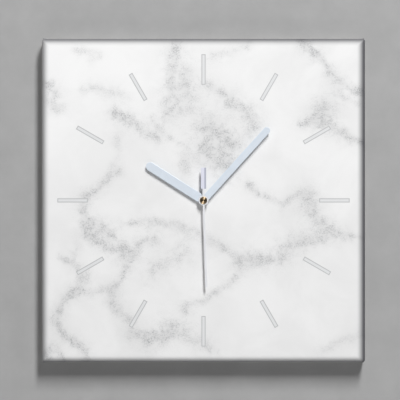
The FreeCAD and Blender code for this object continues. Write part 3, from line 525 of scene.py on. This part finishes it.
def finishes():
    """Every node's material, by node name."""
    acetal = moulded("gear_plastic", srgb(238, 236, 228), 0.4)
    nickel = brushed("contact_steel", srgb(220, 218, 212), 0.3)
    iron = brushed("soft_iron", srgb(176, 177, 179), 0.42, (0.05, 1, 1))
    arbor = brushed("arbor_steel", srgb(214, 215, 217), 0.25, (1, 0.05, 1))
    zinc = zinc_steel()
    brass = turned_brass()
    across, upright = pine("pine_across", True), pine("pine_upright", False)
    case = case_plastic()
    return {
        "stretcher_bar_top": across,
        "stretcher_bar_bottom": across,
        "stretcher_bar_left": upright,
        "stretcher_bar_right": upright,
        "backing_board": fibreboard(),
        "staples": zinc,
        "corner_fasteners": zinc,
        "sawtooth_hanger": zinc,
        "hanger_nails": zinc,
        "threaded_bush": brass,
        "hex_nut": brass,
        "brass_washer": brass,
        "hour_hand_collet": brass,
        "minute_hand_collet": brass,
        "second_hand_cap": brass,
        "rubber_washer": moulded("rubber", grey(0.02), 0.8),
        "movement_front_case": case,
        "movement_rear_cover": case,
        "middle_plate": moulded("plate_plastic", grey(0.03), 0.5),
        "hour_wheel": acetal,
        "minute_pipe": acetal,
        "minute_wheel": acetal,
        "centre_wheel": acetal,
        "third_wheel": acetal,
        "second_wheel": acetal,
        "step_wheel": acetal,
        "rotor_pinion": acetal,
        "setting_knob": moulded("knob_plastic", srgb(232, 230, 222), 0.5),
        "second_arbor": arbor,
        "rotor_magnet": varied("magnet", grey(0.12), 0.45, 0.3 * MM, 1.0),
        "stator": iron,
        "coil_core": iron,
        "coil_bobbin": moulded("bobbin_plastic", srgb(220, 216, 206)),
        "coil_winding": copper_winding(),
        "circuit_board": circuit_laminate(),
        "quartz_crystal": brushed("crystal_can", srgb(226, 227, 229), 0.22, (0.05, 1, 1)),
        "chip_blob": varied("chip_resin", grey(0.012), 0.18, 0.8 * MM, relief=0.02 * MM),
        "positive_contact": nickel,
        "negative_contact": nickel,
        "battery_cell": brushed("cell_can", srgb(222, 223, 226), 0.28, (0.05, 1, 1)),
        "battery_sleeve": cell_sleeve(),
        "hour_hand": hand_enamel("hand_enamel", srgb(221, 230, 240)),
        "second_hand": second_enamel(),
    }


def stand_in(name, mesh, node, material):
    """A finished mesh that replaces one node and rides on its body."""
    piece = bpy.data.objects.new(name, mesh)
    bpy.context.scene.collection.objects.link(piece)
    mesh.materials.clear()
    mesh.materials.append(material)
    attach(piece, frame["nodes"][node]["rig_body"])
    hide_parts(node)
    return piece


def apply_modifiers(piece):
    """Turns a piece and its modifiers into one plain mesh."""
    graph = bpy.context.evaluated_depsgraph_get()
    mesh = bpy.data.meshes.new_from_object(piece.evaluated_get(graph), preserve_all_data_layers=True,
                                           depsgraph=graph)
    piece.modifiers.clear()
    piece.data = mesh
    return piece


def softened(node, material, width):
    """A copy of a node with its sharp edges rounded."""
    mesh = frame["nodes"][node].data.copy()
    shape = bmesh.new()
    shape.from_mesh(mesh)
    bmesh.ops.remove_doubles(shape, verts=shape.verts, dist=1e-6)
    bmesh.ops.dissolve_limit(shape, angle_limit=math.radians(0.5), verts=shape.verts, edges=shape.edges)
    mesh.clear_geometry()
    shape.to_mesh(mesh)
    shape.free()
    piece = stand_in(node + "_finished", mesh, node, material)
    mesh.shade_smooth()
    bevel = piece.modifiers.new("edges", "BEVEL")
    bevel.width = width
    bevel.segments = 2
    bevel.limit_method = "ANGLE"
    bevel.angle_limit = math.radians(40)
    piece.modifiers.new("normals", "WEIGHTED_NORMAL").weight = 90
    apply_modifiers(piece)
    return piece


# ---------------------------------------------------------------- canvas
def store(mesh, name, kind, values):
    """Keeps one vector or value for each vertex on the mesh, for its material."""
    data_type = "FLOAT_VECTOR" if kind == "vector" else "FLOAT"
    mesh.attributes.new(name, data_type, "POINT").data.foreach_set(kind, np.ravel(values))


def smooth_path(points, spacing):
    """Points along the Catmull-Rom curve through the given ones."""
    control = np.array([points[0], *points, points[-1]], float)
    path = []
    for before, start, end, after in zip(control, control[1:], control[2:], control[3:]):
        steps = max(2, int(np.linalg.norm(end - start) / spacing))
        t = (np.arange(steps) / steps)[:, None]
        bend = 2 * before - 5 * start + 4 * end - after
        twist = 3 * (start - end) + after - before
        path.append(start + 0.5 * ((end - before) * t + bend * t**2 + twist * t**3))
    return np.vstack(path + [control[-1:]])


def wandering(places, reach, seed):
    """The places, moved about by layers of noise."""
    moved = places.copy()
    for period, distance in WARP:
        drift = [noise.noise_vector((x / period, y / period, period + seed)) for x, y in places]
        moved += reach * distance * np.array(drift)[:, :2]
    return moved


def vein_field(places):
    """How strongly the veins darken each (right, up) place on the print, in mm."""
    clear = np.ones(len(places))
    for share, reach, seed in STRANDS:
        moved = wandering(places, reach, seed)
        for index, (strength, width, points) in enumerate(VEINS):
            nearest = np.full(len(places), 1e9)
            swell = np.zeros(len(places))
            for number, place in enumerate(smooth_path(points, 1.5)):
                square = ((moved - place) ** 2).sum(axis=1)
                closer = square < nearest
                nearest[closer] = square[closer]
                swell[closer] = noise.noise((number / 6.0, index * 3.7, 0.5 + seed))
            gap = np.sqrt(nearest)
            local = width * (1 + 0.6 * swell)
            line = share * strength * (1 + 0.7 * swell) * np.exp(-((gap / local) ** 2))
            haze = share * HALO[0] * strength * np.exp(-((gap / (HALO[1] * local)) ** 2))
            clear *= 1 - np.clip(line + haze, 0, 0.97)
    return 1 - clear


def canvas_levels():
    """Rings from the flat face to the flap's edge.

    Each is its half size, its corner radius, its depth and the length of cloth past the face.
    """
    levels = []
    for step in range(9):
        turn = math.radians(90 * step / 8)
        levels.append((FLAT_HALF + EDGE_RADIUS * math.sin(turn), CORNER_RADIUS * math.sin(turn),
                       FRONT + EDGE_RADIUS * (1 - math.cos(turn)), EDGE_RADIUS * turn))
    past = EDGE_RADIUS * math.pi / 2
    side = DEPTH - EDGE_RADIUS - BACK_RADIUS
    for step in range(1, 7):
        levels.append((HALF, CORNER_RADIUS, FRONT + EDGE_RADIUS + side * step / 6, past + side * step / 6))
    past += side
    for step in range(1, 5):
        turn = math.radians(90 * step / 4)
        levels.append((HALF - BACK_RADIUS * (1 - math.cos(turn)), CORNER_RADIUS,
                       -BACK_RADIUS * (1 - math.sin(turn)), past + BACK_RADIUS * turn))
    past += BACK_RADIUS * math.pi / 2
    for step in range(1, 6):
        inward = (FLAP - BACK_RADIUS) * step / 5
        levels.append((HALF - BACK_RADIUS - inward, CORNER_RADIUS, 0.0, past + inward))
    return levels


def ring_points(half, corner, past, ticks):
    """One ring round the canvas as (x, z, cloth right, cloth up), about the dial axis."""
    straight = half - corner
    reach = FLAT_HALF + past
    arc = [math.radians(90 * part / 4) for part in (1, 2, 3)]
    side = [(t / FLAT_HALF * straight, -half, t / FLAT_HALF * straight, -reach) for t in ticks]
    for turn in arc:
        share = turn / (math.pi / 2)
        side.append((straight + corner * math.sin(turn), -straight - corner * math.cos(turn),
                     straight + (reach - straight) * share, -reach + (reach - straight) * share))
    points = []
    for quarter in range(4):
        c, s = round(math.cos(quarter * math.pi / 2)), round(math.sin(quarter * math.pi / 2))
        points += [(c * x - s * z, s * x + c * z, c * u - s * v, s * u + c * v) for x, z, u, v in side]
    return points


def canvas_surface():
    """The outside of the canvas as an open mesh, with its cloth coordinates."""
    count = round(2 * FLAT_HALF / CELL)
    ticks = [FLAT_HALF * (2 * step / count - 1) for step in range(count + 1)]
    places, cloth, faces = [], [], []
    for z in ticks:
        for x in ticks:
            places.append((x, FRONT, z + DIAL.z))
            cloth.append((x, z, 0.0))
    row = count + 1
    for j in range(count):
        for i in range(count):
            middle = math.hypot((ticks[i] + ticks[i + 1]) / 2, (ticks[j] + ticks[j + 1]) / 2)
            if middle > PIPE_HOLE:
                first = j * row + i
                faces.append((first, first + 1, first + row + 1, first + row))
    start = len(places)
    levels = canvas_levels()
    for half, corner, y, past in levels:
        for x, z, u, v in ring_points(half, corner, past, ticks):
            places.append((x, y, z + DIAL.z))
            cloth.append((u, v, 0.0))
    around = 4 * (row + 3)
    for level in range(len(levels) - 1):
        for i in range(around):
            a, b = start + level * around + i, start + level * around + (i + 1) % around
            faces.append((a, a + around, b + around, b))
    return places, cloth, faces


def round_the_hole(shape):
    """Brings the edge of the hole round the hour pipe onto a circle."""
    for vertex in shape.verts:
        away = Vector((vertex.co.x, vertex.co.z - DIAL.z))
        if vertex.is_boundary and away.length < 2 * PIPE_HOLE:
            away = away.normalized() * PIPE_HOLE
            vertex.co = (away.x, FRONT, DIAL.z + away.y)


def canvas_sheet(material):
    """The printed canvas: one sheet over the face, round the edges and onto the back of the bars."""
    places, cloth, faces = canvas_surface()
    mesh = bpy.data.meshes.new("canvas")
    mesh.from_pydata(places, [], faces)
    store(mesh, "cloth", "vector", cloth)
    shape = bmesh.new()
    shape.from_mesh(mesh)
    bmesh.ops.remove_doubles(shape, verts=shape.verts, dist=1e-6)
    loose = [vertex for vertex in shape.verts if not vertex.link_faces]
    bmesh.ops.delete(shape, geom=loose, context="VERTS")
    round_the_hole(shape)
    shape.to_mesh(mesh)
    shape.free()
    flat = np.zeros(len(mesh.vertices) * 3)
    mesh.attributes["cloth"].data.foreach_get("vector", flat)
    flat = flat.reshape(-1, 3)[:, :2]
    turned = HALF - (np.abs(flat) - HALF)
    mirrored = np.where(np.abs(flat) > HALF, np.sign(flat) * turned, flat)
    store(mesh, "vein", "value", vein_field(mirrored / MM))
    piece = stand_in("printed_canvas", mesh, "canvas_wrap", material)
    solid = piece.modifiers.new("thickness", "SOLIDIFY")
    solid.thickness = CLOTH
    solid.offset = -1.0
    apply_modifiers(piece)
    piece.data.shade_smooth()
    piece.data.set_sharp_from_angle(angle=math.radians(50))
    return piece


def folded_layer(name, corners, lift, material, cloth_place):
    """A flat fold of canvas: a polygon raised off the cloth below it, with a soft edge.

    cloth_place gives the place on the flat cloth (right, up) under a point of the fold.
    """
    mesh = bpy.data.meshes.new(name)
    raised = [tuple(Vector(corner) + Vector(lift)) for corner in corners]
    count = len(corners)
    faces = [tuple(range(count)), tuple(reversed(range(count, 2 * count)))]
    faces += [(i, i + count, (i + 1) % count + count, (i + 1) % count) for i in range(count)]
    mesh.from_pydata([tuple(corner) for corner in corners] + raised, [], faces)
    shape = bmesh.new()
    shape.from_mesh(mesh)
    bmesh.ops.recalc_face_normals(shape, faces=shape.faces)
    shape.to_mesh(mesh)
    shape.free()
    piece = bpy.data.objects.new(name, mesh)
    bpy.context.scene.collection.objects.link(piece)
    mesh.materials.append(material)
    bevel = piece.modifiers.new("fold", "BEVEL")
    bevel.width = 0.2 * MM
    bevel.segments = 3
    apply_modifiers(piece)
    piece.data.shade_smooth()
    cloth = [(*cloth_place(vertex.co), 0.0) for vertex in piece.data.vertices]
    store(piece.data, "cloth", "vector", cloth)
    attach(piece, "clock_frame")
    return piece


def corner_folds(material):
    """The hospital corners: a slanting fold on the top and bottom sides, a tuck on the back."""
    made = []
    rise = 0.5 * MM
    round_edge = FLAT_HALF + EDGE_RADIUS * (math.pi / 2 - 1)
    for side_x, side_z in ((-1, -1), (1, -1), (1, 1), (-1, 1)):
        name = ("left" if side_x < 0 else "right") + ("_bottom" if side_z < 0 else "_top")
        z = DIAL.z + side_z * HALF
        edge = side_x * (HALF - 0.9 * MM)
        front = FRONT + EDGE_RADIUS + 1.0 * MM
        inner = side_x * (HALF - 21 * MM)
        slant = [(edge, front, z), (edge, -0.9 * MM, z), (inner, -0.9 * MM, z)]
        made.append(folded_layer("corner_fold_" + name, slant, (0, 0, side_z * rise), material,
                                 lambda point, up=side_z: (point.x, up * (round_edge + point.y - FRONT))))
        tuck = [(148.5, 148.5), (130.5, 130.5), (112.0, 130.5), (130.0, 148.5)]
        back = [(side_x * x * MM, 0.0, DIAL.z + side_z * up * MM) for x, up in tuck]
        made.append(folded_layer("corner_tuck_" + name, back, (0, rise * 0.9, 0), material,
                                 lambda point, out=side_x: (out * (2 * HALF + DEPTH) - point.x, point.z)))
    return made


# ---------------------------------------------------------------- hands
def stadium(length, radius, count=20):
    """Outline of a straight hand with rounded ends, along +Z from its pivot."""
    tip = length - radius
    top = [(radius * math.cos(a), tip + radius * math.sin(a)) for a in np.linspace(0, math.pi, count)]
    foot = [(radius * math.cos(a), radius * math.sin(a)) for a in np.linspace(math.pi, 2 * math.pi, count)]
    return top + foot


def keyed_circle(radius, flat, count=32):
    """A round hole cut off by two flats."""
    turns = np.linspace(0, 2 * math.pi, count + 1)[:-1]
    ring = [(radius * math.cos(a), radius * math.sin(a)) for a in turns]
    return [(max(-flat, min(flat, x)), z) for x, z in ring]


def loop(shape, outline, y):
    """A closed loop of vertices and edges at one depth."""
    verts = [shape.verts.new((x, y, z)) for x, z in outline]
    edges = [shape.edges.new((a, b)) for a, b in zip(verts, verts[1:] + verts[:1])]
    return verts, edges


def wall(shape, first, second):
    """Faces between two loops with as many vertices."""
    pairs = list(zip(first, second))
    for (a, b), (c, d) in zip(pairs, pairs[1:] + pairs[:1]):
        shape.faces.new((a, c, d, b))


def baton_hand(node, hand, material):
    """A stamped straight hand: bevelled front edges, rounded ends and the hole for its pipe."""
    low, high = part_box(node)
    radius = hand["width"] / 2
    inset, fall = CHAMFER
    shape = bmesh.new()
    outline = stadium(hand["length"], radius)
    raised = stadium(hand["length"] - inset, radius - inset)
    level = inset + 0.15 * MM
    back, back_edges = loop(shape, outline, high.y)
    edge, _ = loop(shape, outline, low.y + fall)
    rim, _ = loop(shape, stadium(hand["length"] - 0.1 * MM, radius - 0.1 * MM), low.y + fall * 0.62)
    shoulder, _ = loop(shape, raised, low.y)
    face, face_edges = loop(shape, stadium(hand["length"] - level, radius - level), low.y)
    hole = keyed_circle(hand["bore"], hand["flat"])
    hole_front, front_edges = loop(shape, hole, low.y)
    hole_back, rear_edges = loop(shape, hole, high.y)
    for first, second in ((back, edge), (edge, rim), (rim, shoulder), (shoulder, face),
                          (hole_front, hole_back)):
        wall(shape, first, second)
    bmesh.ops.triangle_fill(shape, edges=face_edges + front_edges, use_beauty=True)
    bmesh.ops.triangle_fill(shape, edges=back_edges + rear_edges, use_beauty=True)
    bmesh.ops.recalc_face_normals(shape, faces=shape.faces)
    turn = math.radians(hand["angle"])
    c, s = math.cos(turn), math.sin(turn)
    for vertex in shape.verts:
        x, y, z = vertex.co
        vertex.co = (x * c + z * s, y, z * c - x * s + DIAL.z)
    mesh = bpy.data.meshes.new(node)
    shape.to_mesh(mesh)
    shape.free()
    piece = stand_in(node + "_finished", mesh, node, material)
    piece.data.shade_smooth()
    piece.data.set_sharp_from_angle(angle=math.radians(18))
    return piece


def brass_cap(material):
    """The turned cap: a dished face, a rounded rim and a straight side."""
    low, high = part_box("second_hand_cap")
    dish = 0.12 * MM
    profile = [(0.0, low.y + dish)]
    profile += [(CAP_RADIUS * share, low.y + dish * (1 - share**2)) for share in (0.2, 0.4, 0.6, 0.75)]
    rim = 0.25 * MM
    for part in range(6):
        turn = math.radians(90 * part / 5)
        profile.append((CAP_RADIUS - rim + rim * math.sin(turn), low.y + rim * (1 - math.cos(turn))))
    well, floor = 0.6 * MM, high.y - 0.4 * MM
    profile += [(CAP_RADIUS, high.y), (well, high.y), (well, floor), (0.0, floor)]
    around = 72
    turns = [2 * math.pi * step / around for step in range(around)]
    shape = bmesh.new()
    rings = []
    for radius, y in profile:
        ring = [(radius * math.sin(a), y, DIAL.z + radius * math.cos(a)) for a in turns]
        rings.append([shape.verts.new(place) for place in ring])
    for first, second in zip(rings, rings[1:]):
        wall(shape, first, second)
    bmesh.ops.remove_doubles(shape, verts=shape.verts, dist=1e-7)
    bmesh.ops.recalc_face_normals(shape, faces=shape.faces)
    mesh = bpy.data.meshes.new("second_hand_cap")
    shape.to_mesh(mesh)
    shape.free()
    piece = stand_in("second_hand_cap_finished", mesh, "second_hand_cap", material)
    piece.data.shade_smooth()
    piece.data.set_sharp_from_angle(angle=math.radians(35))
    return piece


# ---------------------------------------------------------------- the room
def area_light(name, direction, distance, size, power):
    """A soft white light that looks at the dial from a direction."""
    data = bpy.data.lights.new(name, "AREA")
    data.shape = "RECTANGLE"
    data.size, data.size_y = size
    data.energy = power
    lamp = bpy.data.objects.new(name, data)
    bpy.context.scene.collection.objects.link(lamp)
    lamp.location = DIAL + Vector(direction).normalized() * distance
    lamp.rotation_euler = (DIAL - lamp.location).to_track_quat("-Z", "Y").to_euler()
    lamp.visible_camera = False
    return lamp


def plane(name, corners, material):
    """A flat staged surface."""
    mesh = bpy.data.meshes.new(name)
    mesh.from_pydata(corners, [], [tuple(range(len(corners)))])
    mesh.materials.append(material)
    made = bpy.data.objects.new(name, mesh)
    bpy.context.scene.collection.objects.link(made)
    return made


def plaster():
    """Plain pale wall paint, seen only from the room's side."""
    made = Surface("plaster", roughness=0.9)
    tone = made.noise(30 * MM, 4.0, 0.6)
    made.put("Base Color", made.ramp(tone, (0.3, grey(0.38)), (0.7, grey(0.42))))
    made.bump(made.noise(2 * MM, 3.0), 0.1 * MM, 0.3)
    clear = made.add("BsdfTransparent").outputs[0]
    behind = made.add("NewGeometry").outputs["Backfacing"]
    shown = made.add("MixShader", {0: behind, 1: made.shader.outputs[0], 2: clear}).outputs[0]
    made.join(made.tree.nodes["Material Output"].inputs["Surface"], shown)
    return made.material


def pale_room(light, seen):
    """A dim even light all round, and a paler plain grey behind everything."""
    world = bpy.data.worlds.new("room")
    world.use_nodes = True
    nodes, links = world.node_tree.nodes, world.node_tree.links
    nodes["Background"].inputs["Color"].default_value = grey(light)
    backdrop = nodes.new("ShaderNodeBackground")
    backdrop.inputs["Color"].default_value = grey(seen)
    choice = nodes.new("ShaderNodeMixShader")
    links.new(nodes.new("ShaderNodeLightPath").outputs["Is Camera Ray"], choice.inputs[0])
    links.new(nodes["Background"].outputs[0], choice.inputs[1])
    links.new(backdrop.outputs[0], choice.inputs[2])
    links.new(choice.outputs[0], nodes["World Output"].inputs["Surface"])
    bpy.context.scene.world = world


def stage_and_lights():
    """A plain wall and floor; a key above on the right, a fill, a strip below and two lights behind."""
    gap, reach, drop = 1.3 * MM, 1.6, 0.9
    floor_z = DIAL.z - drop
    top = 1.2
    corners = [(-reach, gap, floor_z), (reach, gap, floor_z), (reach, gap, top), (-reach, gap, top)]
    wall_plane = plane("wall", corners, plaster())
    ground = varied("floor_paint", grey(0.55), 0.8, 20 * MM, spread=0.04, Emission_Color=grey(1.0),
                    Emission_Strength=0.06)
    plane("floor", [(-3, -4, floor_z), (3, -4, floor_z), (3, 4, floor_z), (-3, 4, floor_z)], ground)
    area_light("key", (0.25, -1.0, 0.85), 2.6, (0.42, 1.05), 65.0)
    area_light("fill", (-0.7, -1.0, 0.5), 1.7, (1.0, 1.0), 1.2)
    area_light("low_strip", (0.1, -1.0, -0.75), 1.2, (1.4, 0.12), 0.8)
    rear = [area_light("rear_left", (-0.9, 1.0, 0.9), 1.4, (0.8, 0.8), 10.0),
            area_light("rear_right", (0.9, 1.0, 0.5), 1.4, (0.8, 0.8), 6.0)]
    shadowless = bpy.data.collections.new("rear_light_blockers")
    shadowless.objects.link(wall_plane)
    for lamp in rear:
        lamp.light_linking.blocker_collection = shadowless
    shadowless.collection_objects[0].light_linking.link_state = "EXCLUDE"
    pale_room(0.04, 0.5)
    bpy.context.scene.view_settings.view_transform = "Standard"


def camera():
    """Square-on to the face, from far enough away that the sides stay hidden."""
    plane_y, seen = -0.018, 0.3715     # a depth within the frame, and the width of the view there
    distance = 2.2                     # from that depth to the camera
    right, above = -3.25 * MM, 0.37 * MM
    data = bpy.data.cameras.new("camera")
    data.sensor_width = 36.0
    data.lens = data.sensor_width * distance / seen
    data.clip_start, data.clip_end = 0.05, 20.0
    made = bpy.data.objects.new("camera", data)
    bpy.context.scene.collection.objects.link(made)
    made.location = (right, plane_y - distance, DIAL.z + above)
    made.rotation_euler = (math.radians(90), 0, 0)
    bpy.context.scene.camera = made


# ---------------------------------------------------------------- the clock
def dress():
    """Gives every CAD node its material, and puts the finer pieces in place of some."""
    made = finishes()
    for name, material in made.items():
        node = frame["nodes"][name]
        for place in node.material_slots:
            place.material = material
    canvas = canvas_sheet(printed_canvas())
    folds = corner_folds(canvas.data.materials[0])
    wide = 2 * (FLAT_HALF + canvas_levels()[-1][3])
    baton_hand("hour_hand", HOUR_HAND, made["hour_hand"])
    baton_hand("minute_hand", MINUTE_HAND, made["hour_hand"])
    softened("second_hand", made["second_hand"], 0.1 * MM)
    brass_cap(made["second_hand_cap"])
    for name, width in ROUNDED.items():
        softened(name, made[name], width)


dress()
stage_and_lights()
camera()
